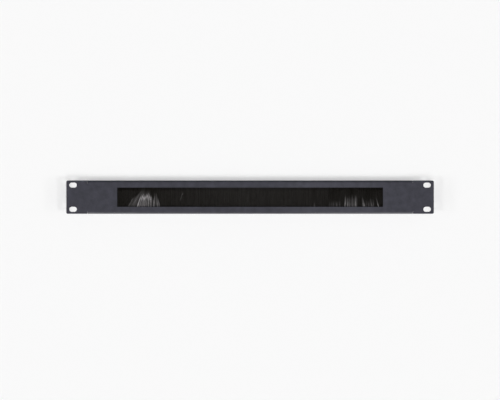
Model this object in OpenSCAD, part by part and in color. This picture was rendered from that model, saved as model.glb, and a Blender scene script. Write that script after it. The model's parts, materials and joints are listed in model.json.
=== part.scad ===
// Brush strip panel for a 19-inch rack, one rack unit high.
// A folded steel panel closes the rack opening. Cables pass through its long slot, and a strip
// brush, held in an aluminium profile under the upper flange, closes the slot round them.
//
// Frame: X to the right, Y into the rack, Z up. The origin is the middle of the four ear holes,
// on the plane where the ears bear on the rack rails. The face stands in front of that plane.

/* [Panel] */
// Width over the ears
panel_w = 482.6; // [250:0.1:610]
// Height of the face, a little under one rack unit
panel_h = 43.66; // [36:0.01:180]
// Thickness of the steel sheet
sheet_t = 1.5; // [1.2:0.1:2]
// How far the two flanges run back past the holder's leg
flange_lap = 0.35; // [0.2:0.05:20]
// Inside radius of the two bends
bend_r = 1; // [0.5:0.1:2]
// Width of each flat ear, outside the flanges
ear_w = 27.7; // [22:0.1:40]
// Radius of the face's four corners
corner_r = 2; // [0.5:0.1:5]
// Radius of the flanges' rear corners
flange_corner_r = 1.5; // [0.5:0.1:3]
// Width of the slit that frees each flange from the ear beside it
relief_w = 0.4; // [0.2:0.1:1.5]
// How far that slit runs past the bend
relief_run = 0.5; // [0:0.1:2]

/* [Rack holes] */
// Width of each obround ear hole, along Z
ear_hole_w = 6.6; // [5:0.1:7.5]
// Length of each obround ear hole, along X
ear_hole_len = 10; // [8:0.1:12]
// From the panel's end to the middle of an ear hole
ear_hole_inset_x = 8.75; // [7:0.05:10]
// From the panel's long edge to the middle of an ear hole
ear_hole_inset_z = 5.955; // [5.5:0.005:9]

/* [Cable slot] */
// How far the rim above the slot hangs below the holder's foot, and so hides it
rim_lap = 0.2; // [0:0.1:5]
// From the end of a flange to the end of the slot
shoulder_w = 39.1; // [10:0.1:60]

/* [Strip brush] */
// Outside width of the rolled channel
channel_w = 4.8; // [4:0.1:6]
// Height of the rolled channel
channel_h = 4.9; // [4:0.1:6]
// Thickness of the channel's strip
channel_t = 0.5; // [0.4:0.1:0.6]
// How far each leg of the channel is pinched in at the mouth
channel_pinch = 0.3; // [0.2:0.05:0.4]
// Diameter of the core wire that the filaments are folded over
wire_d = 1.4; // [1:0.1:1.8]
// How far the brush runs past each end of the slot
brush_end_overlap = 6; // [2:0.5:8]
// How far the tips hang below the slot's lower edge
tip_overlap = 4.3; // [0:0.1:6]
// Spacing of the bunches that the filaments fall into
bunch_pitch = 3; // [2:0.5:8]
// Depth of the furrow between two bunches
furrow_depth = 0.25; // [0.1:0.05:0.5]
// Width of a parting where two bunches spread at their tips
parting_w = 0.9; // [0.4:0.1:1.5]
// Least height of a parting
parting_low = 3; // [1:0.5:6]
// Greatest height of a parting
parting_high = 9; // [6:0.5:14]

/* [Holder] */
// Wall of the holder's pocket
holder_wall = 1; // [0.8:0.1:1.3]
// Thickness of the web and of the leg that is screwed to the flange
leg_t = 1.5; // [1.2:0.1:2]
// Thickness of the two lips that the channel rests on
lip_t = 0.9; // [0.7:0.1:1.1]
// How far each lip reaches under the channel's leg
lip_bite = 0.3; // [0.2:0.05:0.35]
// Gap between the face and the holder
face_gap = 0.2; // [0.1:0.05:0.4]
// Sliding clearance round the channel, on each side
slide_gap = 0.1; // [0.05:0.05:0.2]
// Gap round a washer or nut, to the pocket and to the leg's rear edge
seat_gap = 0.3; // [0.2:0.05:1]

/* [Fasteners] */
// Number of screws along the flange
screw_count = 5; // [2:1:7]
// From the end of the brush to the first screw
screw_inset = 20; // [8:1:60]
// Diameter of the screw's shank
screw_d = 3; // [3:0.5:3.5]
// Diameter of the screw's countersunk head
head_d = 5.5; // [5:0.1:5.5]
// Length of the screw over its head
screw_len = 8; // [7:1:12]
// Clearance round the shank in the flange and the leg
screw_gap = 0.2; // [0.1:0.05:0.4]
// Width of the arms of the head's cross recess
recess_w = 0.8; // [0.6:0.1:1]
// Depth of the cross recess
recess_deep = 1; // [0.6:0.1:1]
// Tip to tip length of the cross recess
recess_span = 2.8; // [2:0.1:2.8]
// Outside diameter of the spring washer
washer_d = 6.2; // [5:0.1:6.2]
// Thickness of the spring washer
washer_t = 0.8; // [0.5:0.1:1]
// Width of the spring washer's slit
washer_slit = 0.7; // [0.4:0.1:1]
// Width of the nut across its flats
nut_af = 5.5; // [5:0.5:5.5]
// Height of the nut
nut_h = 2.4; // [1.8:0.1:2.4]

/* [Hidden] */

eps = 0.5;                                       // how far a cutter runs past what it cuts
round_fn = 48;
chamfer_deg = 30;                                // of the nut's corners
tip_chamfer = 0.3;                               // at the screw's end
slit_slant = 30;                                 // of the spring washer's slit
golden_angle = 137.5;                            // scatters what is turned by it again and again

steel_black = [0.26, 0.26, 0.29];
aluminium = [0.75, 0.76, 0.78];
zinc_strip = [0.62, 0.63, 0.64];
wire_steel = [0.55, 0.55, 0.56];
filament_black = [0.13, 0.125, 0.12];
zinc_plate = [0.68, 0.69, 0.7];

// Panel
bend_outer_r = bend_r + sheet_t;
body_w = panel_w - 2 * ear_w;                    // length of the flanges
slot_w = body_w - 2 * shoulder_w;
face_front = -sheet_t;
flange_under = panel_h / 2 - sheet_t;            // underside of the upper flange
ear_hole_x = panel_w / 2 - ear_hole_inset_x;
ear_hole_z = panel_h / 2 - ear_hole_inset_z;

// Holder, from its top down
pocket_w = channel_w + 2 * slide_gap;
pocket_h = channel_h + 2 * slide_gap;
holder_front = face_gap;
pocket_front = holder_front + holder_wall;
pocket_back = pocket_front + pocket_w;
holder_back = pocket_back + holder_wall;
holder_nose_r = bend_r + face_gap;               // clears the inside of the bend
pocket_top = flange_under - leg_t;
pocket_floor = pocket_top - pocket_h;
holder_foot = pocket_floor - lip_t;

// The slot is level with the middle of the face, and its upper rim hides the holder
rim_h = panel_h / 2 - holder_foot + rim_lap;
slot_h = panel_h - 2 * rim_h;

// Strip brush, standing on the pocket's lips
brush_w = slot_w + 2 * brush_end_overlap;
brush_y = (pocket_front + pocket_back) / 2;
channel_mouth = pocket_floor;
channel_top = channel_mouth + channel_h;
channel_r = channel_w / 2;
crown_z = channel_top - channel_r;               // centre of the channel's rolled back
mouth_half = channel_r - channel_pinch;          // outside half width at the mouth
throat_half = mouth_half - channel_t;            // half the pack's thickness at the mouth
lip_half = throat_half + channel_t - lip_bite;   // half the opening between the lips
tips_z = -slot_h / 2 - tip_overlap;

// Fasteners, from the flange's top down
screw_r = screw_d / 2;
hole_r = screw_r + screw_gap;
head_r = head_d / 2;
washer_bore_r = screw_r + screw_gap / 2;
nut_corner_r = nut_af / sqrt(3);
seat_r = max(washer_d / 2, nut_corner_r);
screw_y = holder_back + seat_gap + seat_r;
leg_back = screw_y + seat_r + seat_gap;
flange_back = leg_back + flange_lap;
screw_pitch = (brush_w - 2 * screw_inset) / (screw_count - 1);
leg_under = pocket_top;
washer_under = leg_under - washer_t;
nut_under = washer_under - nut_h;

// Bunches of filaments
bunch_count = round(brush_w / bunch_pitch);
bunch_w = brush_w / bunch_count;

// Puts its children at each screw, z above the ear holes' middle.
module at_screws(z) {
    for (i = [0 : screw_count - 1])
        translate([(i - (screw_count - 1) / 2) * screw_pitch, screw_y, z]) rotate(i * golden_angle)
            children();
}

// Draws a profile given as (y, z) and runs it along X, centred.
module along_x(length) {
    rotate([90, 0, 90])
        linear_extrude(height = length, center = true) children();
}

// Draws an outline given as (x, z) and makes it the sheet between the face and the rail plane.
module face_sheet() {
    rotate([90, 0, 0])
        linear_extrude(height = sheet_t) children();
}

module rounded_rectangle(w, h, r) {
    square([w - 2 * r, h], center = true);
    square([w, h - 2 * r], center = true);
    for (sx = [-1, 1], sz = [-1, 1])
        translate([sx * (w / 2 - r), sz * (h / 2 - r)]) circle(r = r, $fn = round_fn);
}

module obround(length, width) {
    square([length - width, width], center = true);
    for (s = [-1, 1])
        translate([s * (length - width) / 2, 0]) circle(d = width, $fn = round_fn);
}

// What is cut from one long edge of the flat face: the bend's strip and its two relief slits.
module bend_strip() {
    slit_foot = panel_h / 2 - bend_outer_r;
    translate([-body_w / 2, slit_foot]) square([body_w, bend_outer_r + eps]);
    for (s = [-1, 1])
        translate([s * (body_w + relief_w) / 2 - relief_w / 2, slit_foot - relief_run])
            square([relief_w, bend_outer_r + relief_run + eps]);
}

module face_outline() {
    difference() {
        rounded_rectangle(panel_w, panel_h, corner_r);
        bend_strip();
        mirror([0, 1]) bend_strip();
        square([slot_w, slot_h], center = true);
        for (sx = [-1, 1], sz = [-1, 1])
            translate([sx * ear_hole_x, sz * ear_hole_z]) obround(ear_hole_len, ear_hole_w);
    }
}

// One flange with its bend, along the upper edge.
module flange() {
    bend_y = face_front + bend_outer_r;
    bend_z = panel_h / 2 - bend_outer_r;
    difference() {
        along_x(body_w) {
            intersection() {
                difference() {
                    translate([bend_y, bend_z]) circle(r = bend_outer_r, $fn = round_fn);
                    translate([bend_y, bend_z]) circle(r = bend_r, $fn = round_fn);
                }
                translate([bend_y - bend_outer_r, bend_z]) square(bend_outer_r);
            }
            translate([bend_y, flange_under]) square([flange_back - bend_y, sheet_t]);
        }
        for (s = [-1, 1]) mirror([s < 0 ? 1 : 0, 0, 0])
            translate([body_w / 2 - flange_corner_r, flange_back - flange_corner_r, bend_z])
                linear_extrude(height = bend_outer_r + eps) difference() {
                    square(flange_corner_r + eps);
                    circle(r = flange_corner_r, $fn = round_fn);
                }
    }
}

module front_panel() {
    color(steel_black) difference() {
        union() {
            face_sheet() face_outline();
            flange();
            mirror([0, 0, 1]) flange();
        }
        at_screws(panel_h / 2) countersink();
    }
}

// The screw's hole through the flange, with the cone that its head lies in.
module countersink() {
    cone_deep = head_r - hole_r;
    translate([0, 0, -sheet_t - eps]) cylinder(r = hole_r, h = sheet_t + 2 * eps, $fn = round_fn);
    translate([0, 0, -cone_deep]) cylinder(r1 = hole_r, r2 = head_r, h = cone_deep, $fn = round_fn);
    cylinder(r = head_r, h = eps, $fn = round_fn);
}

module holder_profile() {
    difference() {
        union() {
            translate([holder_front, holder_foot])
                square([holder_back - holder_front, flange_under - holder_nose_r - holder_foot]);
            translate([holder_front + holder_nose_r, holder_foot])
                square([leg_back - holder_front - holder_nose_r, flange_under - holder_foot]);
            translate([holder_front + holder_nose_r, flange_under - holder_nose_r])
                circle(r = holder_nose_r, $fn = round_fn);
        }
        translate([holder_back, holder_foot - eps])
            square([leg_back - holder_back + eps, leg_under - holder_foot + eps]);
        translate([pocket_front, pocket_floor]) square([pocket_w, pocket_h]);
        translate([brush_y - lip_half, holder_foot - eps]) square([2 * lip_half, lip_t + 2 * eps]);
    }
}

module brush_holder() {
    color(aluminium) difference() {
        along_x(brush_w) holder_profile();
        at_screws(leg_under - eps) cylinder(r = hole_r, h = leg_t + 2 * eps, $fn = round_fn);
    }
}

// The channel's outline, or what it holds inside, as a round back and two legs pinched together.
module channel_outline(r, foot_half) {
    translate([brush_y, crown_z]) intersection() {
        circle(r = r, $fn = round_fn);
        translate([-r, 0]) square([2 * r, r]);
    }
    polygon([
        [brush_y - r, crown_z], [brush_y - foot_half, channel_mouth],
        [brush_y + foot_half, channel_mouth], [brush_y + r, crown_z]
    ]);
}

module channel_inside() {
    channel_outline(channel_r - channel_t, throat_half);
}

module brush_channel() {
    color(zinc_strip) along_x(brush_w) difference() {
        channel_outline(channel_r, mouth_half);
        channel_inside();
    }
}

module core_wire_outline() {
    translate([brush_y, crown_z]) circle(d = wire_d, $fn = round_fn);
}

module core_wire() {
    color(wire_steel) along_x(brush_w) core_wire_outline();
}

// One long side of the curtain, seen from above: a ridge for each bunch and a furrow between two.
function bunch_edge(side) = [
    for (i = [0 : bunch_count - 1]) each [
        [(i - bunch_count / 2) * bunch_w, side * (throat_half - furrow_depth)],
        [(i + 0.5 - bunch_count / 2) * bunch_w, side * throat_half]
    ],
    [brush_w / 2, side * (throat_half - furrow_depth)]
];

function reversed(points) = [for (i = [len(points) - 1 : -1 : 0]) points[i]];

function parting_height(i) = parting_low + (parting_high - parting_low) * pow(sin(i * golden_angle), 2);

module bristle_curtain() {
    difference() {
        translate([0, brush_y, tips_z]) linear_extrude(height = channel_mouth - tips_z)
            polygon(concat(bunch_edge(-1), reversed(bunch_edge(1))));
        for (i = [1 : 2 : bunch_count - 1])
            translate([(i - bunch_count / 2) * bunch_w, brush_y + throat_half + eps, tips_z])
                rotate([90, 0, 0]) linear_extrude(height = 2 * (throat_half + eps))
                    polygon([[-parting_w / 2, -eps], [parting_w / 2, -eps], [0, parting_height(i)]]);
    }
}

module bristles() {
    color(filament_black) union() {
        along_x(brush_w) difference() {
            channel_inside();
            core_wire_outline();
        }
        bristle_curtain();
    }
}

module screw() {
    cone_deep = head_r - screw_r;
    difference() {
        rotate_extrude($fn = round_fn) polygon([
            [0, 0], [head_r, 0], [screw_r, -cone_deep], [screw_r, -screw_len + tip_chamfer],
            [screw_r - tip_chamfer, -screw_len], [0, -screw_len]
        ]);
        for (turn = [0, 90]) rotate(turn)
            translate([-recess_span / 2, -recess_w / 2, -recess_deep])
                cube([recess_span, recess_w, recess_deep + eps]);
    }
}

module screws() {
    color(zinc_plate) at_screws(panel_h / 2) screw();
}

module spring_washer() {
    difference() {
        cylinder(d = washer_d, h = washer_t, $fn = round_fn);
        translate([0, 0, -eps]) cylinder(r = washer_bore_r, h = washer_t + 2 * eps, $fn = round_fn);
        rotate([0, slit_slant, 0]) translate([-washer_slit / 2, 0, -washer_d])
            cube([washer_slit, washer_d, 2 * washer_d]);
    }
}

module spring_washers() {
    color(zinc_plate) at_screws(washer_under) spring_washer();
}

module hex_nut() {
    drop = (nut_corner_r - nut_af / 2) * tan(chamfer_deg);
    difference() {
        intersection() {
            cylinder(r = nut_corner_r, h = nut_h, $fn = 6);
            rotate_extrude($fn = round_fn) polygon([
                [0, 0], [nut_af / 2, 0], [nut_corner_r, drop],
                [nut_corner_r, nut_h - drop], [nut_af / 2, nut_h], [0, nut_h]
            ]);
        }
        translate([0, 0, -eps]) cylinder(r = screw_r, h = nut_h + 2 * eps, $fn = round_fn);
    }
}

module hex_nuts() {
    color(zinc_plate) at_screws(nut_under) hex_nut();
}

front_panel();
brush_holder();
brush_channel();
core_wire();
bristles();
screws();
spring_washers();
hex_nuts();
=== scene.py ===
import json
import math

import bpy
import numpy as np
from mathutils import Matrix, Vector

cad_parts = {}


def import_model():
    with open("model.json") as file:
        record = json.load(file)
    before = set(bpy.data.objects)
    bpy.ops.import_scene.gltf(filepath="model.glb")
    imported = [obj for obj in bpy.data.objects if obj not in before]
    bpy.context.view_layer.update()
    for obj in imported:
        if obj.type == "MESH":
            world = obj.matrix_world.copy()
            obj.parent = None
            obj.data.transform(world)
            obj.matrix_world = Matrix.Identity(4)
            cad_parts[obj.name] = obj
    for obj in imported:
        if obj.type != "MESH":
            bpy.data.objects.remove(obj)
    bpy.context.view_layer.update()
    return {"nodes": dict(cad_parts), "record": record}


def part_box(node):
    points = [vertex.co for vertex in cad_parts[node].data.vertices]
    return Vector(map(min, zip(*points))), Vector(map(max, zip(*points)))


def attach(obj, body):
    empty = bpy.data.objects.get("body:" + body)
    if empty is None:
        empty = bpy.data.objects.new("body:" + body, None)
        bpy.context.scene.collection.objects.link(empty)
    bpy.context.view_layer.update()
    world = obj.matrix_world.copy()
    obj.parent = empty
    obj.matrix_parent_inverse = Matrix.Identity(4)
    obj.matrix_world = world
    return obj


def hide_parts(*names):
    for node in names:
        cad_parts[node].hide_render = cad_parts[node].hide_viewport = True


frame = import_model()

# Lengths are in metres. X runs along the panel, +Y into the rack and +Z up.
MM = 0.001

# The places of the panel's parts, from the frame.
panel_low, panel_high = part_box("front_panel")
panel_mid = (panel_low + panel_high) / 2
brush_low, brush_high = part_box("bristles")
brush_mid_y = (brush_low.y + brush_high.y) / 2
channel_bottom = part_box("brush_channel")[0].z

# Half the length of the panel's flanges, which are all of it that reaches this far back.
FLANGES_FROM = panel_low.y + 5 * MM
panel_vertices = frame["nodes"]["front_panel"].data.vertices
flange_x = max(abs(v.co.x) for v in panel_vertices if v.co.y > FLANGES_FROM)


# ---------------------------------------------------------------- nodes

def add_node(tree, kind, inputs=None, **settings):
    """A shader node with its settings and its inputs, which are values or the sockets they come from."""
    made = tree.nodes.new("ShaderNode" + kind)
    for key, value in settings.items():
        setattr(made, key, value)
    for key, value in (inputs or {}).items():
        if isinstance(value, bpy.types.NodeSocket):
            tree.links.new(value, made.inputs[key])
        else:
            made.inputs[key].default_value = value
    return made


def calc(tree, operation, *values):
    """The result of a Math node. Each value is a number or a socket."""
    return add_node(tree, "Math", dict(enumerate(values)), operation=operation).outputs[0]


def between(tree, value, low, high, start=0.3, end=0.7, **settings):
    """low where value is start, high where it is end. Noise is mostly from 0.3 to 0.7."""
    inputs = {"Value": value, "From Min": start, "From Max": end, "To Min": low, "To Max": high}
    return add_node(tree, "MapRange", inputs, **settings).outputs[0]


def axes(tree, place):
    """The X, Y and Z sockets of a place."""
    return add_node(tree, "SeparateXYZ", {"Vector": place}).outputs


def off_middle(tree, value, middle):
    """How far value is from middle, either way."""
    return calc(tree, "ABSOLUTE", calc(tree, "SUBTRACT", value, middle))


def noise(tree, place, size, stretch=(1, 1, 1), detail=2.0, rough=0.5):
    """Noise from 0 to 1 whose lumps are about size metres across, drawn out along an axis by stretch."""
    scale = tuple(1 / (size * s) for s in stretch)
    scaled = add_node(tree, "Mapping", {"Vector": place, "Scale": scale}).outputs[0]
    inputs = {"Vector": scaled, "Scale": 1.0, "Detail": detail, "Roughness": rough}
    return add_node(tree, "TexNoise", inputs).outputs[0]


def blend_colours(tree, share, first, second):
    """From first to second by a share from 0 to 1. Each of the two is a colour or a socket."""
    mixed = add_node(tree, "Mix", {"Factor": share}, data_type="RGBA")
    for socket, colour in ((mixed.inputs[6], first), (mixed.inputs[7], second)):
        if isinstance(colour, bpy.types.NodeSocket):
            tree.links.new(colour, socket)
        else:
            socket.default_value = (*colour, 1)
    return mixed.outputs[2]


def shades(tree, share, colour, darkest, lightest):
    """Shades of a colour by a share from 0 to 1: it is multiplied by darkest at 0 and by lightest at 1."""
    dark = [part * darkest for part in colour]
    light = [part * lightest for part in colour]
    return blend_colours(tree, share, dark, light)


# ---------------------------------------------------------------- materials

def new_material(name, colour, **sockets):
    """A Principled material of one plain colour, its tree and shader, and the object's own coordinates."""
    material = bpy.data.materials.new(name)
    material.use_nodes = True
    tree = material.node_tree
    shader = tree.nodes["Principled BSDF"]
    shader.inputs["Base Color"].default_value = (*colour, 1)
    for key, value in sockets.items():
        shader.inputs[key.replace("_", " ")].default_value = value
    place = add_node(tree, "TexCoord").outputs["Object"]
    return material, tree, shader, place


def finish_with(tree, shader, colour, roughness, height, depth):
    """Drives a shader's colour, its roughness and its bumps, whose height of 0 to 1 stands for depth metres."""
    bump = add_node(tree, "Bump", {"Strength": 1.0, "Distance": depth, "Height": height}).outputs[0]
    for key, socket in (("Base Color", colour), ("Roughness", roughness), ("Normal", bump)):
        tree.links.new(socket, shader.inputs[key])


# The coat, and the colour of a painted highlight on its lower bend. The painted highlight reaches this far up
# and back from the panel's lower front edge, and fades out over the last bit. It is stronger at the flange's
# ends than in its middle.
COAT = (0.0191, 0.0183, 0.0256)
BEND_HIGHLIGHT = (0.12, 0.12, 0.132)
HIGHLIGHT_UP, HIGHLIGHT_UP_FADE = 2.6 * MM, 0.7 * MM
HIGHLIGHT_BACK, HIGHLIGHT_BACK_FADE = 1.6 * MM, 0.5 * MM
HIGHLIGHT_MIDDLE, HIGHLIGHT_ENDS = 0.45, 1.05
MIDDLE_X, ENDS_X = 0.2 * panel_high.x, 0.85 * panel_high.x

# The stretch at the right of the slot where hands and cables have made the coat less rough, by POLISH.
POLISHED_X, POLISHED_HALF, POLISHED_FADE = 110 * MM, 48 * MM, 27 * MM
POLISH = 0.05


def bend_highlight_share(tree, place):
    """How strong the painted highlight on the coat is, from 0 to 1: on the lower bend, along the flange, and in
    patches.
    """
    part = axes(tree, place)
    top = panel_low.z + HIGHLIGHT_UP
    back = panel_low.y + HIGHLIGHT_BACK
    aside = calc(tree, "ABSOLUTE", part["X"])
    patches = noise(tree, place, 14 * MM, stretch=(2, 1, 1), detail=4)
    share = between(tree, part["Z"], 0, 1, start=top, end=top - HIGHLIGHT_UP_FADE)
    for factor in (between(tree, part["Y"], 0, 1, start=back, end=back - HIGHLIGHT_BACK_FADE),
                   between(tree, aside, HIGHLIGHT_MIDDLE, HIGHLIGHT_ENDS, start=MIDDLE_X, end=ENDS_X),
                   between(tree, patches, 0.55, 1.0),
                   calc(tree, "LESS_THAN", aside, flange_x)):
        share = calc(tree, "MULTIPLY", share, factor)
    return share


def polish(tree, place):
    """What hands and cables take off the coat's roughness."""
    away = off_middle(tree, axes(tree, place)["X"], POLISHED_X)
    return between(tree, away, POLISH, 0, start=POLISHED_HALF, end=POLISHED_HALF + POLISHED_FADE)


def powder_coat():
    """Black powder coat with a fine even texture: cured lumps, and a slight cloudiness over the sheet."""
    material, tree, shader, place = new_material(
        "powder_coat", COAT, Specular_IOR_Level=0.35, Specular_Tint=(0.86, 0.88, 1.0, 1))
    lumps = noise(tree, place, 0.5 * MM, detail=3, rough=0.6)
    clouds = noise(tree, place, 9 * MM, detail=4, rough=0.6)
    grain = noise(tree, place, 1.6 * MM)
    tone = calc(tree, "ADD", between(tree, clouds, 0, 0.7), between(tree, grain, 0, 0.3))
    # The coat in shades, with a painted highlight on its lower bend.
    colour = blend_colours(tree, bend_highlight_share(tree, place), shades(tree, tone, COAT, 0.4, 1.6), BEND_HIGHLIGHT)
    roughness = calc(tree, "SUBTRACT", between(tree, grain, 0.56, 0.64), polish(tree, place))
    finish_with(tree, shader, colour, roughness, lumps, depth=0.09 * MM)
    return material


def mill_aluminium():
    """Extruded aluminium as it leaves the die, with fine die lines along its length."""
    bare = (0.42, 0.43, 0.44)
    material, tree, shader, place = new_material("mill_aluminium", bare, Metallic=1.0)
    lines = noise(tree, place, 0.22 * MM, stretch=(400, 1, 1))
    dulling = noise(tree, place, 6 * MM, stretch=(5, 1, 1), detail=3)
    colour = shades(tree, between(tree, lines, 0, 1), bare, 0.8, 1.15)
    finish_with(tree, shader, colour, between(tree, dulling, 0.36, 0.5), lines, depth=0.012 * MM)
    return material


def galvanised_strip():
    """Thin galvanised strip, rolled to a channel: flattened spangle and faint rolling lines."""
    bare = (0.5, 0.51, 0.52)
    material, tree, shader, place = new_material("galvanised_strip", bare, Metallic=1.0)
    spangle = add_node(tree, "TexVoronoi", {"Vector": place, "Scale": 1 / (1.8 * MM)}, feature="F1")
    flower = add_node(tree, "SeparateColor", {"Color": spangle.outputs["Color"]}).outputs[0]
    lines = noise(tree, place, 0.3 * MM, stretch=(120, 1, 1))
    colour = shades(tree, flower, bare, 0.82, 1.12)
    roughness = between(tree, flower, 0.34, 0.5, start=0, end=1)
    finish_with(tree, shader, colour, roughness, lines, depth=0.008 * MM)
    return material


def drawn_wire():
    """Bright drawn steel wire, with the die's marks along it."""
    bare = (0.42, 0.42, 0.43)
    material, tree, shader, place = new_material("drawn_wire", bare, Metallic=1.0)
    marks = noise(tree, place, 0.12 * MM, stretch=(150, 1, 1))
    colour = shades(tree, between(tree, marks, 0, 1), bare, 0.8, 1.1)
    finish_with(tree, shader, colour, between(tree, marks, 0.3, 0.42), marks, depth=0.006 * MM)
    return material


def zinc_plate():
    """Blue-white zinc plate on turned and pressed steel, a little uneven and dulled in spots."""
    bare = (0.58, 0.6, 0.63)
    material, tree, shader, place = new_material("zinc_plate", bare, Metallic=1.0)
    spots = noise(tree, place, 1.1 * MM, detail=4, rough=0.6)
    grain = noise(tree, place, 0.16 * MM)
    colour = shades(tree, between(tree, spots, 0, 1), bare, 0.78, 1.06)
    finish_with(tree, shader, colour, between(tree, spots, 0.28, 0.46), grain, depth=0.006 * MM)
    return material


def nylon_filament():
    """Black nylon, whitened partly by wear and partly by painted highlight and sheen. How white each point of a
    filament is painted is on its mesh.
    """
    black = (0.0038, 0.0029, 0.0019)
    white_wear_and_highlight = (0.63, 0.605, 0.62)
    material, tree, shader, _ = new_material(
        "nylon_filament", black, Roughness=0.45, Specular_IOR_Level=0.15, Specular_Tint=(1.0, 0.97, 0.92, 1))
    wear_and_highlight = add_node(tree, "Attribute", attribute_name="wear_and_highlight").outputs["Fac"]
    tree.links.new(blend_colours(tree, wear_and_highlight, black, white_wear_and_highlight), shader.inputs["Base Color"])
    return material


# ---------------------------------------------------------------- filaments

# A filament is a tube of three sides, which gets thinner near its tip. It starts in the channel.
FILAMENT_R = 0.12 * MM
SIDES = 3
THINNER_FROM, TIP_WIDTH = 0.85, 0.72
ROOT_Z = channel_bottom + 0.6 * MM
TIP_Z = brush_low.z

# The part of the UV map that is filled, the step that gives faces of even whiteness a width on it, and the
# whiteness, wear and painted highlight, that stands for none.
MAP_LOW, MAP_SPAN, MAP_STEP = 0.01, 0.97, 0.0015
NO_WEAR_OR_HIGHLIGHT = 1e-6

# A drift has knots for this length, which is longer than the panel.
DRIFT_LENGTH = 0.6

draw = np.random.default_rng(19)


def drift(x, pitch, seed):
    """A smooth wander from -1 to 1 along x, which turns about every pitch metres."""
    knots = np.random.default_rng(seed).uniform(-1, 1, int(DRIFT_LENGTH / pitch) + 4)
    at = (x - x.min()) / pitch
    cell = np.floor(at).astype(int)
    share = at - cell
    share = share * share * (3 - 2 * share)
    return knots[cell] * (1 - share) + knots[cell + 1] * share


def map_by_wear_and_highlight(mesh, wear_and_highlight):
    """A UV map on which each point lies by its whiteness, wear and painted highlight, across and by its place
    along the filament up, because the filaments' colour depends on nothing else."""
    rings = wear_and_highlight.shape[1]
    side = np.arange(SIDES)
    across = MAP_LOW + MAP_SPAN * wear_and_highlight / max(wear_and_highlight.max(), NO_WEAR_OR_HIGHLIGHT)
    up = MAP_LOW + MAP_SPAN * np.linspace(0, 1, rings)
    place = np.empty((*wear_and_highlight.shape, SIDES, 2), np.float32)
    place[..., 0] = across[..., None] + MAP_STEP * side
    place[..., 1] = up[None, :, None] + MAP_STEP * (side == 1)
    corners = np.empty(len(mesh.loops), np.int32)
    mesh.loops.foreach_get("vertex_index", corners)
    mesh.uv_layers.new(name="OFBake").uv.foreach_set("vector", place.reshape(-1, 2)[corners].ravel())


def tube_corners(points, radius):
    """The corners of a tube round each filament's points, turned by chance about its own length."""
    count, rings, _ = points.shape
    along = np.gradient(points, axis=1)
    along /= np.linalg.norm(along, axis=2, keepdims=True)
    across = np.cross(along, [0.0, 1.0, 0.0])
    across /= np.linalg.norm(across, axis=2, keepdims=True)
    facing = np.cross(along, across)
    turn = draw.uniform(0, 2 * math.pi, count)
    angle = turn[:, None] + np.arange(SIDES)[None] * 2 * math.pi / SIDES
    taper = radius * np.interp(np.linspace(0, 1, rings), [0, THINNER_FROM, 1], [1, 1, TIP_WIDTH])
    offset = (across[:, :, None] * np.cos(angle)[:, None, :, None]
              + facing[:, :, None] * np.sin(angle)[:, None, :, None]) * taper[None, :, None, None]
    return (points[:, :, None] + offset).reshape(-1, 3)


def tube_faces(count, rings):
    """The faces of that many tubes, each closed at its tip and its root."""
    ring = np.arange(rings - 1)[:, None] * SIDES
    side = np.arange(SIDES)[None]
    following = (side + 1) % SIDES
    quads = np.stack([ring + side, ring + following, ring + SIDES + following, ring + SIDES + side], -1)
    start = np.arange(count)[:, None, None] * rings * SIDES
    sides = (start + quads.reshape(-1, 4)[None]).reshape(-1, 4)
    tips = start[:, 0] + (rings - 1) * SIDES + np.arange(SIDES)[None]
    roots = start[:, 0] + np.arange(SIDES)[None, ::-1]
    return sides.tolist() + tips.tolist() + roots.tolist()


def filament_piece(name, points, wear_and_highlight, radius, material):
    """One piece of many filaments. points is (filament, ring, 3), and their whiteness, wear and painted
    highlight, is (filament, ring).
    """
    count, rings, _ = points.shape
    mesh = bpy.data.meshes.new(name)
    mesh.from_pydata(tube_corners(points, radius).tolist(), [], tube_faces(count, rings))
    at_corners = np.repeat(wear_and_highlight.reshape(-1), SIDES).astype(np.float32)
    mesh.attributes.new("wear_and_highlight", "FLOAT", "POINT").data.foreach_set("value", at_corners)
    mesh.shade_smooth()
    map_by_wear_and_highlight(mesh, wear_and_highlight)
    mesh.materials.append(material)
    made = bpy.data.objects.new(name, mesh)
    bpy.context.scene.collection.objects.link(made)
    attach(made, "root")
    return made


# The curtain. Its filaments lean along x and stand out along y in slow waves, given by their height and pitch,
# and each a little on its own, more towards the tip. They gather by BUNCH_PULL of the way at the pitch of the
# channel's pinches.
LAYER_FILAMENTS = 2400
CURTAIN_RINGS = 6
CURTAIN_MARGIN = 0.3 * MM
BUNCH, BUNCH_PULL, BUNCH_WANDER = 3 * MM, 0.2, 0.25
LEAN_WIDE, LEAN_WIDE_PITCH = 0.6 * MM, 11 * MM
LEAN_NEAR, LEAN_NEAR_PITCH = 0.35 * MM, 3.1 * MM
LEAN_EACH = 0.2 * MM
OUT_WIDE, OUT_WIDE_PITCH = 0.2 * MM, 7 * MM
OUT_EACH = 0.08 * MM
LEAN_POWER, OUT_POWER = 1.5, 1.7
SHORTER_ALL, SHORTER_EACH = 0.004, 0.012

# A painted sheen greys it out to the first distance below from the middle, where that fades out over the
# second.
# At its top, over the share of its height below, painted light makes it up to the given times as pale, which
# lifts the shade under the slot's rim.
MIDDLE_SHEEN, GREYED_EACH = 0.0105, 0.004
SHEEN_HALF, SHEEN_FADE = 160 * MM, 130 * MM
LIT_TOP, LIT_TOP_SHARE = 4, 0.2


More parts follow.
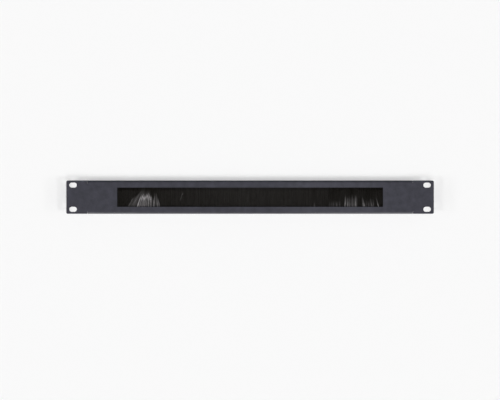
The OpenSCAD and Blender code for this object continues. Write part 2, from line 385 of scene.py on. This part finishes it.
def curtain_layer(name, depth, spread, material, seed):
    """One layer of the curtain, whose filaments are within spread of depth from the brush's middle plane."""
    count = LAYER_FILAMENTS
    x = np.linspace(brush_low.x + CURTAIN_MARGIN, brush_high.x - CURTAIN_MARGIN, count)
    x = x + draw.uniform(-0.5, 0.5, count) * (x[1] - x[0])
    y = brush_mid_y + depth + draw.uniform(-spread, spread, count)
    bunch_x = np.round(x / BUNCH + BUNCH_WANDER * drift(x, 2 * BUNCH, seed)) * BUNCH
    lean = LEAN_WIDE * drift(x, LEAN_WIDE_PITCH, seed + 1) + LEAN_NEAR * drift(x, LEAN_NEAR_PITCH, seed + 2)
    lean = lean + draw.normal(0, LEAN_EACH, count) + (bunch_x - x) * BUNCH_PULL
    out = OUT_WIDE * drift(x, OUT_WIDE_PITCH, seed + 3) + draw.normal(0, OUT_EACH, count)
    length = (ROOT_Z - TIP_Z) * (1 - np.abs(draw.normal(0, SHORTER_EACH, count)) - SHORTER_ALL)
    share = np.linspace(0, 1, CURTAIN_RINGS)[None]
    points = np.empty((count, CURTAIN_RINGS, 3))
    points[..., 0] = x[:, None] + lean[:, None] * share ** LEAN_POWER
    points[..., 1] = y[:, None] + out[:, None] * share ** OUT_POWER
    points[..., 2] = ROOT_Z - length[:, None] * share
    points[..., 0] = points[..., 0].clip(brush_low.x + FILAMENT_R, brush_high.x - FILAMENT_R)
    points[..., 1] = points[..., 1].clip(brush_low.y + FILAMENT_R, brush_high.y - FILAMENT_R)
    # A painted sheen towards the middle, a random grey in each filament, and painted light at the top.
    sheen = np.clip((SHEEN_HALF - np.abs(x)) / SHEEN_FADE, 0, 1)
    wear_and_highlight = MIDDLE_SHEEN * sheen + np.abs(draw.normal(0, GREYED_EACH, count))
    lit_top = np.interp(share, [0, LIT_TOP_SHARE], [LIT_TOP, 1])
    return filament_piece(name, points, wear_and_highlight[:, None] * lit_top, FILAMENT_R, material)


# The curtain's core: thicker, straight filaments that keep light from passing through it. Each is a little off
# the middle plane, in millimetres, and has most of the full length.
CORE_PITCH = 0.3 * MM
CORE_R = 0.3 * MM
CORE_RINGS = 4
CORE_MARGIN = 0.4 * MM
CORE_OFF = (-0.1, 0.1)
CORE_LENGTH = (0.95, 0.985)


def core_layer(material):
    """The straight filaments inside the curtain."""
    count = int((brush_high.x - brush_low.x) / CORE_PITCH)
    x = np.linspace(brush_low.x + CORE_MARGIN, brush_high.x - CORE_MARGIN, count)
    share = np.linspace(0, 1, CORE_RINGS)[None]
    points = np.empty((count, CORE_RINGS, 3))
    points[..., 0] = x[:, None]
    points[..., 1] = brush_mid_y + draw.uniform(*CORE_OFF, count)[:, None] * MM
    points[..., 2] = ROOT_Z - (ROOT_Z - TIP_Z) * share * draw.uniform(*CORE_LENGTH, count)[:, None]
    filament_piece("filaments_core", points, np.zeros((count, CORE_RINGS)), CORE_R, material)


# The worn tufts, whitened partly by wear and partly by a painted highlight. They bow forward of the curtain by
# up to
# FORWARD. Their strands sway along x by up to SWAY, turning through SWAY_TURNS radians from top to bottom. They
# end just above the slot's lower edge.
TUFT_RINGS = 14
TUFT_MARGIN = 0.3 * MM
TUFT_FOOT = TIP_Z + 4.7 * MM
FORWARD, BOW_POWER = 1.3 * MM, 0.85
SWAY, SWAY_TURNS = 0.35 * MM, 6
DOME_POWER = 3.5

# How much of its painted highlight a strand keeps away from its brightest place, and under its arch. How far
# its brightest place reaches, as a share of the tuft's height, and across the arch. How steeply haze and
# painted highlight set in below the tuft's top.
GLOW_ALL, UNDER_ARCH = 0.2, 0.28
GLOW_REACH, ARCH_REACH = 0.3, 0.17
HAZE_STEEP, GLOW_STEEP = 3, 5

# What chance gives a strand: its place, in pitches, its brightness, and how far the arch is off there.
STRAND_PLACE = (-0.45, 0.45)
STRAND_BRIGHT = (0.1, 1)
STRAND_ARCH = 0.12

# What it gives a filament: how far it is drawn to its strand, its brightness, sway, bow, added length and haze,
# how its wear and painted highlight vary from ring to ring, and how far its peak, its top and the arch are off
# there.
DRAWN_IN = (0, 1.4)
OWN_BRIGHT = (0.3, 1.3)
OWN_SWAY = (-0.3, 1)
OWN_BOW = (0.3, 1)
OWN_LENGTH = (0, 0.5 * MM)
OWN_HAZE = (0.1, 1.7)
RING_WEAR_AND_HIGHLIGHT = (0.6, 1.1)
OWN_PEAK, OWN_TOP, OWN_ARCH = 0.05, 0.4, 0.05


def worn_and_highlit_tuft(seed, count, roots, tips, crown, strands, tone, shine, foot=TUFT_FOOT, peaks=(0.15, 0.75),
              dome=0.0, curve=1.0, ragged=0.0, pull=0.6, width=0.2, splay=0.25 * MM, arch=None):
    """The points and the whiteness of filaments that cables have pulled forward, partly wear and partly a
    painted highlight.

    roots, tips: the tuft's left and right end along x, where it starts and where it ends.
    crown, foot: the height of its top and of its lower end.
    strands, pull, width: the number of strands, how far they draw it in, and their share of their pitch.
    tone, shine: how white it is between the strands, and how bright the painted highlight is on them.
    peaks: between which heights a strand's painted highlight is brightest, where 0 is the crown and 1 the foot.
    dome, ragged: how far its top is rounded off, and how uneven it is.
    curve, splay: how its sides bend, and how far its tips part.
    arch: the middle, half width and rise of the arch on which its painted highlight lies instead.
    """
    rng = np.random.default_rng(seed)
    loose = np.random.default_rng(seed + 557)

    # Its strands, and each filament's place across the tuft, own strand and nearness to it.
    place = rng.uniform(0, 1, count)
    centres = (np.arange(strands) + 0.5 + rng.uniform(*STRAND_PLACE, strands)) / strands
    own = np.abs(place[:, None] - centres[None]).argmin(1)
    place = place + (centres[own] - place) * pull * rng.uniform(*DRAWN_IN, count)
    near = np.exp(-(((place - centres[own]) * strands / width) ** 2))
    bright = rng.uniform(*STRAND_BRIGHT, strands)[own] * rng.uniform(*OWN_BRIGHT, count)
    peak = rng.uniform(*peaks, strands)[own] + rng.normal(0, OWN_PEAK, count)

    # Its outline: where each filament starts and ends, and how high up it is whitened and highlit.
    start = roots[0] + (roots[1] - roots[0]) * place
    end = tips[0] + (tips[1] - tips[0]) * place + splay * rng.normal(0, 1, count)
    share = np.linspace(0, 1, TUFT_RINGS)[None]
    z = ROOT_Z + (foot - ROOT_Z) * share
    z = z - rng.uniform(*OWN_LENGTH, count)[:, None] * share
    top = crown - (crown - foot) * dome * np.abs(2 * place - 1) ** DOME_POWER
    top = top + ragged * rng.normal(0, 1, strands)[own] + OWN_TOP * ragged * rng.normal(0, 1, count)
    below = (top[:, None] - z) / (top - foot)[:, None].clip(1 * MM, None)
    fallen = ((crown - z) / (crown - foot)).clip(0, 1)

    # The filaments themselves.
    sway = SWAY * near * loose.uniform(*OWN_SWAY, count)
    phase = SWAY_TURNS * np.sin(own * 2.3)
    wave = sway[:, None] * np.sin(fallen * SWAY_TURNS + phase[:, None])
    bow = np.sin(math.pi * share ** BOW_POWER)
    points = np.empty((count, TUFT_RINGS, 3))
    points[..., 0] = start[:, None] + (end - start)[:, None] * fallen ** curve + wave
    points[..., 1] = brush_low.y + TUFT_MARGIN - FORWARD * bow * rng.uniform(*OWN_BOW, count)[:, None]
    points[..., 2] = z

    # Their whiteness: a haze over the whole tuft, partly wear and partly painted highlight, and the strands'
    # glow, a painted highlight.
    if arch is None:
        glow = GLOW_ALL + (1 - GLOW_ALL) * np.exp(-(((below - peak[:, None]) / GLOW_REACH) ** 2))
    else:
        out = np.hypot((points[..., 0] - arch[0]) / arch[1], (z - foot) / arch[2])
        uneven = STRAND_ARCH * loose.normal(0, 1, strands)[own] + OWN_ARCH * loose.normal(0, 1, count)
        out = out * (1 + uneven)[:, None]
        glow = np.exp(-(((out - 1) / ARCH_REACH) ** 2)) + UNDER_ARCH * (out < 1)
    haze = (tone * rng.uniform(*OWN_HAZE, count))[:, None] * np.clip(below * HAZE_STEEP, 0, 1)
    wear_and_highlight = haze + (shine * near * bright)[:, None] * glow * np.clip(below * GLOW_STEEP, 0, 1)
    return points, wear_and_highlight * rng.uniform(*RING_WEAR_AND_HIGHLIGHT, (count, TUFT_RINGS))


def worn_and_highlit_filaments(material):
    """The tufts beside which cables have passed, whitened partly by wear and partly by a painted highlight: a
    fan at the left, and ragged patches at the right.
    """
    near_foot = (0.75, 1.05)
    fan = worn_and_highlit_tuft(
        seed=35, count=760, roots=(-0.1468, -0.1272), tips=(-0.161, -0.1262), crown=9 * MM, strands=13,
        tone=0.095, shine=1.25, dome=0.6, curve=0.8, width=0.24, ragged=1.5 * MM,
        arch=(-0.1387, 0.0102, 13 * MM))
    beside_fan = worn_and_highlit_tuft(
        seed=31, count=150, roots=(-0.1262, -0.1222), tips=(-0.1262, -0.1185), crown=6.5 * MM, strands=4,
        tone=0.06, shine=0.5, peaks=(0.45, 1.0), dome=0.5, ragged=1.5 * MM)
    broad_patch = worn_and_highlit_tuft(
        seed=48, count=240, roots=(0.1245, 0.1412), tips=(0.1243, 0.1412), crown=0.5 * MM, strands=8,
        tone=0.085, shine=0.5, peaks=near_foot, ragged=1.4 * MM)
    wedge = worn_and_highlit_tuft(
        seed=8, count=70, roots=(0.1468, 0.148), tips=(0.148, 0.1522), crown=0.5 * MM, strands=3,
        tone=0.07, shine=0.65, peaks=near_foot, ragged=1 * MM)
    after_wedge = worn_and_highlit_tuft(
        seed=12, count=90, roots=(0.152, 0.1635), tips=(0.1525, 0.164), crown=-4 * MM, strands=6,
        tone=0.06, shine=0.6, peaks=near_foot, ragged=1.5 * MM)
    hook = worn_and_highlit_tuft(
        seed=9, count=26, roots=(0.1648, 0.1658), tips=(0.1682, 0.1695), crown=1 * MM, strands=1,
        tone=0.06, shine=0.8, peaks=near_foot, ragged=1 * MM)
    faint_single = worn_and_highlit_tuft(
        seed=14, count=30, roots=(0.0836, 0.085), tips=(0.0836, 0.085), crown=-6 * MM, strands=1,
        tone=0.04, shine=0.4, peaks=near_foot)
    faint_row = worn_and_highlit_tuft(
        seed=16, count=110, roots=(0.103, 0.119), tips=(0.103, 0.119), crown=-5.5 * MM, strands=6,
        tone=0.035, shine=0.25, peaks=near_foot, ragged=1.2 * MM)
    stray = worn_and_highlit_tuft(
        seed=4, count=4, roots=(-0.0878, -0.088), tips=(-0.0919, -0.0921), crown=7 * MM, foot=-4 * MM,
        strands=1, tone=0.3, shine=0, pull=0, splay=0)
    tufts = [fan, beside_fan, broad_patch, wedge, after_wedge, hook, faint_single, faint_row, stray]
    points = np.concatenate([tuft[0] for tuft in tufts])
    wear_and_highlight = np.concatenate([tuft[1] for tuft in tufts]).clip(0, 1)
    filament_piece("filaments_worn_and_highlit", points, wear_and_highlight, FILAMENT_R, material)


# ---------------------------------------------------------------- the object

# Corners this close are one, and edges that turn by more than this are rounded.
WELD_WITHIN = 0.001 * MM
SHARP = math.radians(40)


def soften_edges(node, width):
    """Rounds a CAD node's sharp edges by width, as the coat or the die leaves them."""
    weld = node.modifiers.new("weld", "WELD")
    weld.merge_threshold = WELD_WITHIN
    bevel = node.modifiers.new("bevel", "BEVEL")
    bevel.width = width
    bevel.segments = 2
    bevel.limit_method = "ANGLE"
    bevel.angle_limit = SHARP
    bevel.harden_normals = True


coats = {"front_panel": powder_coat(), "brush_holder": mill_aluminium(), "brush_channel": galvanised_strip(),
         "core_wire": drawn_wire()}
zinc = zinc_plate()
for name in ("screws", "spring_washers", "hex_nuts"):
    coats[name] = zinc
for name, material in coats.items():
    node = frame["nodes"][name]
    node.data.materials.clear()
    node.data.materials.append(material)
for name, width in (("front_panel", 0.15 * MM), ("brush_holder", 0.1 * MM), ("hex_nuts", 0.12 * MM)):
    soften_edges(frame["nodes"][name], width)

nylon = nylon_filament()
layers = [curtain_layer("filaments_front", -1.2 * MM, 0.3 * MM, nylon, 101),
          curtain_layer("filaments_front_inner", -0.5 * MM, 0.35 * MM, nylon, 201),
          curtain_layer("filaments_back_inner", 0.5 * MM, 0.35 * MM, nylon, 301),
          curtain_layer("filaments_back", 1.2 * MM, 0.3 * MM, nylon, 401)]
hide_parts("bristles")
core_layer(nylon)
worn_and_highlit_filaments(nylon)


# ---------------------------------------------------------------- the wall

# The white surface the panel lies against, this far behind it. It reaches WALL_REACH each way from the middle,
# and is left out behind the panel's tray, to this far inside the flange's ends and the panel's edges.
WALL_WHITE = 0.93
WALL_BEHIND = 0.2 * MM
WALL_REACH = 3.0
LEFT_OUT_X, LEFT_OUT_Z = 15 * MM, 1 * MM

# The light through the ears' holes clears the wall by HOLE_CLEAR. As the camera sees them, the holes fall on
# the wall a little further out than they are, by HOLE_SIGHT.
HOLE_SIGHT, HOLE_BLUR, HOLE_CLEAR = 1.011, 1.2 * MM, 0.8

# The deep shade behind the panel is cleared by SHADE_CLEAR. That begins this far outside the panel's outline
# and is complete after SHADE_EDGE.
SHADE_OUT_X, SHADE_OUT_Z = 2 * MM, 0.2 * MM
SHADE_CLEAR, SHADE_EDGE = 0.42, 4 * MM


def hole_light(tree, place):
    """How far the wall is cleared where the light that comes through the ears' holes falls on it."""
    holes = frame["record"]["mounts"][0]["dims"]
    round_r = holes["hole_r_mm"] * MM
    straight_x = holes["slot_length_mm"] / 2 * MM - round_r
    part = axes(tree, place)
    off = add_node(tree, "CombineXYZ")
    for axis, spacing, straight in (("X", "spacing_x_mm", straight_x), ("Z", "spacing_y_mm", 0)):
        aside = calc(tree, "ABSOLUTE", part[axis])
        away = off_middle(tree, aside, holes[spacing] / 2 * MM * HOLE_SIGHT)
        past = calc(tree, "MAXIMUM", calc(tree, "SUBTRACT", away, straight), 0.0)
        tree.links.new(past, off.inputs[axis])
    reach = add_node(tree, "VectorMath", {0: off.outputs[0]}, operation="LENGTH").outputs["Value"]
    return between(tree, reach, 0, HOLE_CLEAR, start=round_r + HOLE_BLUR, end=round_r,
                   interpolation_type="SMOOTHSTEP")


def lifted_shade(tree, place):
    """How far the wall is cleared right behind the panel, so that its shade isn't black from the side."""
    part = axes(tree, place)
    share = SHADE_CLEAR
    for axis, edge in (("X", panel_high.x + SHADE_OUT_X), ("Z", panel_high.z + SHADE_OUT_Z)):
        aside = calc(tree, "ABSOLUTE", part[axis])
        share = between(tree, aside, 0, share, start=edge, end=edge - SHADE_EDGE,
                        interpolation_type="SMOOTHSTEP")
    return share


def wall_material():
    """Plain white, which can't be seen from behind the wall."""
    material = bpy.data.materials.new("wall_white")
    material.use_nodes = True
    tree = material.node_tree
    tree.nodes.clear()
    place = add_node(tree, "TexCoord").outputs["Object"]
    white = add_node(tree, "BsdfDiffuse", {"Color": (WALL_WHITE, WALL_WHITE, WALL_WHITE, 1)}).outputs[0]
    clear = add_node(tree, "BsdfTransparent").outputs[0]
    gone = add_node(tree, "NewGeometry").outputs["Backfacing"]
    for share in (hole_light(tree, place), lifted_shade(tree, place)):
        gone = calc(tree, "MAXIMUM", gone, share)
    both = add_node(tree, "MixShader", {0: gone, 1: white, 2: clear}).outputs[0]
    add_node(tree, "OutputMaterial", {"Surface": both})
    return material


def wall():
    """The wall: a grid of three by three faces without its middle one, which is the place that is left out."""
    y = panel_high.y + WALL_BEHIND
    open_x = flange_x - LEFT_OUT_X
    open_z = panel_high.z - LEFT_OUT_Z
    corners = [(x, y, z) for z in (-WALL_REACH, -open_z, open_z, WALL_REACH)
               for x in (-WALL_REACH, -open_x, open_x, WALL_REACH)]
    faces = [(i, i + 1, i + 5, i + 4) for i in (0, 1, 2, 4, 6, 8, 9, 10)]
    mesh = bpy.data.meshes.new("wall")
    mesh.from_pydata(corners, [], faces)
    mesh.materials.append(wall_material())
    made = bpy.data.objects.new("wall", mesh)
    bpy.context.scene.collection.objects.link(made)
    made.visible_shadow = False


# ---------------------------------------------------------------- light and camera

# What the world gives to a surface, to the camera, and to a mirror that faces the room in front of the panel.
# Room and backdrop blend over this share of a mirrored ray's way along Y.
AMBIENT = 0.1
BACKDROP = 0.94
FRONT_ROOM = 0.3
ROOM_BLEND = 0.3


def world():
    """A white backdrop for the camera and for reflections, and a low even light on everything else."""
    made = bpy.data.worlds.new("studio")
    made.use_nodes = True
    bpy.context.scene.world = made
    tree = made.node_tree
    path = add_node(tree, "LightPath").outputs
    ray = add_node(tree, "TexCoord").outputs["Generated"]
    mirrored = between(tree, axes(tree, ray)["Y"], FRONT_ROOM, BACKDROP, start=-ROOM_BLEND, end=ROOM_BLEND)
    reflected = calc(tree, "MAXIMUM", path["Is Glossy Ray"], path["Is Transmission Ray"])
    strength = between(tree, reflected, AMBIENT, mirrored, start=0, end=1)
    strength = between(tree, path["Is Camera Ray"], strength, BACKDROP, start=0, end=1)
    tree.links.new(strength, tree.nodes["Background"].inputs["Strength"])
    tree.nodes["Background"].inputs["Color"].default_value = (1, 1, 1, 1)


def lamp(name, azimuth, elevation, width, share):
    """A distant soft lamp. Its direction and width are in degrees: azimuth 0 is in front of the panel and 90 at
    its right. share is what it adds to the brightness of a white surface that faces it."""
    data = bpy.data.lights.new(name, "SUN")
    data.angle = math.radians(width)
    data.energy = math.pi * share
    made = bpy.data.objects.new(name, data)
    bpy.context.scene.collection.objects.link(made)
    a = math.radians(azimuth)
    e = math.radians(elevation)
    towards = Vector((math.sin(a) * math.cos(e), -math.cos(a) * math.cos(e), math.sin(e)))
    made.rotation_mode = "QUATERNION"
    made.rotation_quaternion = towards.to_track_quat("Z", "Y")


# The width that the picture takes in at the panel's face, and how far the panel is off the picture's middle.
PICTURE_WIDTH = 656.5 * MM
PANEL_RIGHT, PANEL_UP = 0.1 * MM, 3.7 * MM
LENS, SENSOR = 80.0, 36.0


def camera():
    """The photograph's view, straight at the panel's face."""
    data = bpy.data.cameras.new("camera")
    data.lens = LENS
    data.sensor_width = SENSOR
    data.clip_start = 0.01
    data.clip_end = 20
    made = bpy.data.objects.new("camera", data)
    bpy.context.scene.collection.objects.link(made)
    distance = PICTURE_WIDTH * LENS / SENSOR
    made.location = (panel_mid.x - PANEL_RIGHT, panel_low.y - distance, panel_mid.z - PANEL_UP)
    made.rotation_euler = (math.radians(90), 0, 0)
    bpy.context.scene.camera = made


camera()
wall()
world()
lamp("front_softbox", azimuth=-1, elevation=-2, width=6, share=0.566)
lamp("low_softbox", azimuth=8, elevation=-27, width=20, share=0.158)
lamp("left_softbox", azimuth=-42, elevation=-15, width=11, share=0.085)
lamp("right_softbox", azimuth=42, elevation=-15, width=11, share=0.105)
lamp("far_left_softbox", azimuth=-62, elevation=-7, width=9, share=0.09)
lamp("far_right_softbox", azimuth=62, elevation=-7, width=9, share=0.09)
lamp("rear_left_softbox", azimuth=215, elevation=15, width=90, share=0.42)
lamp("rear_right_softbox", azimuth=145, elevation=15, width=90, share=0.34)
bpy.context.scene.view_settings.view_transform = "Standard"
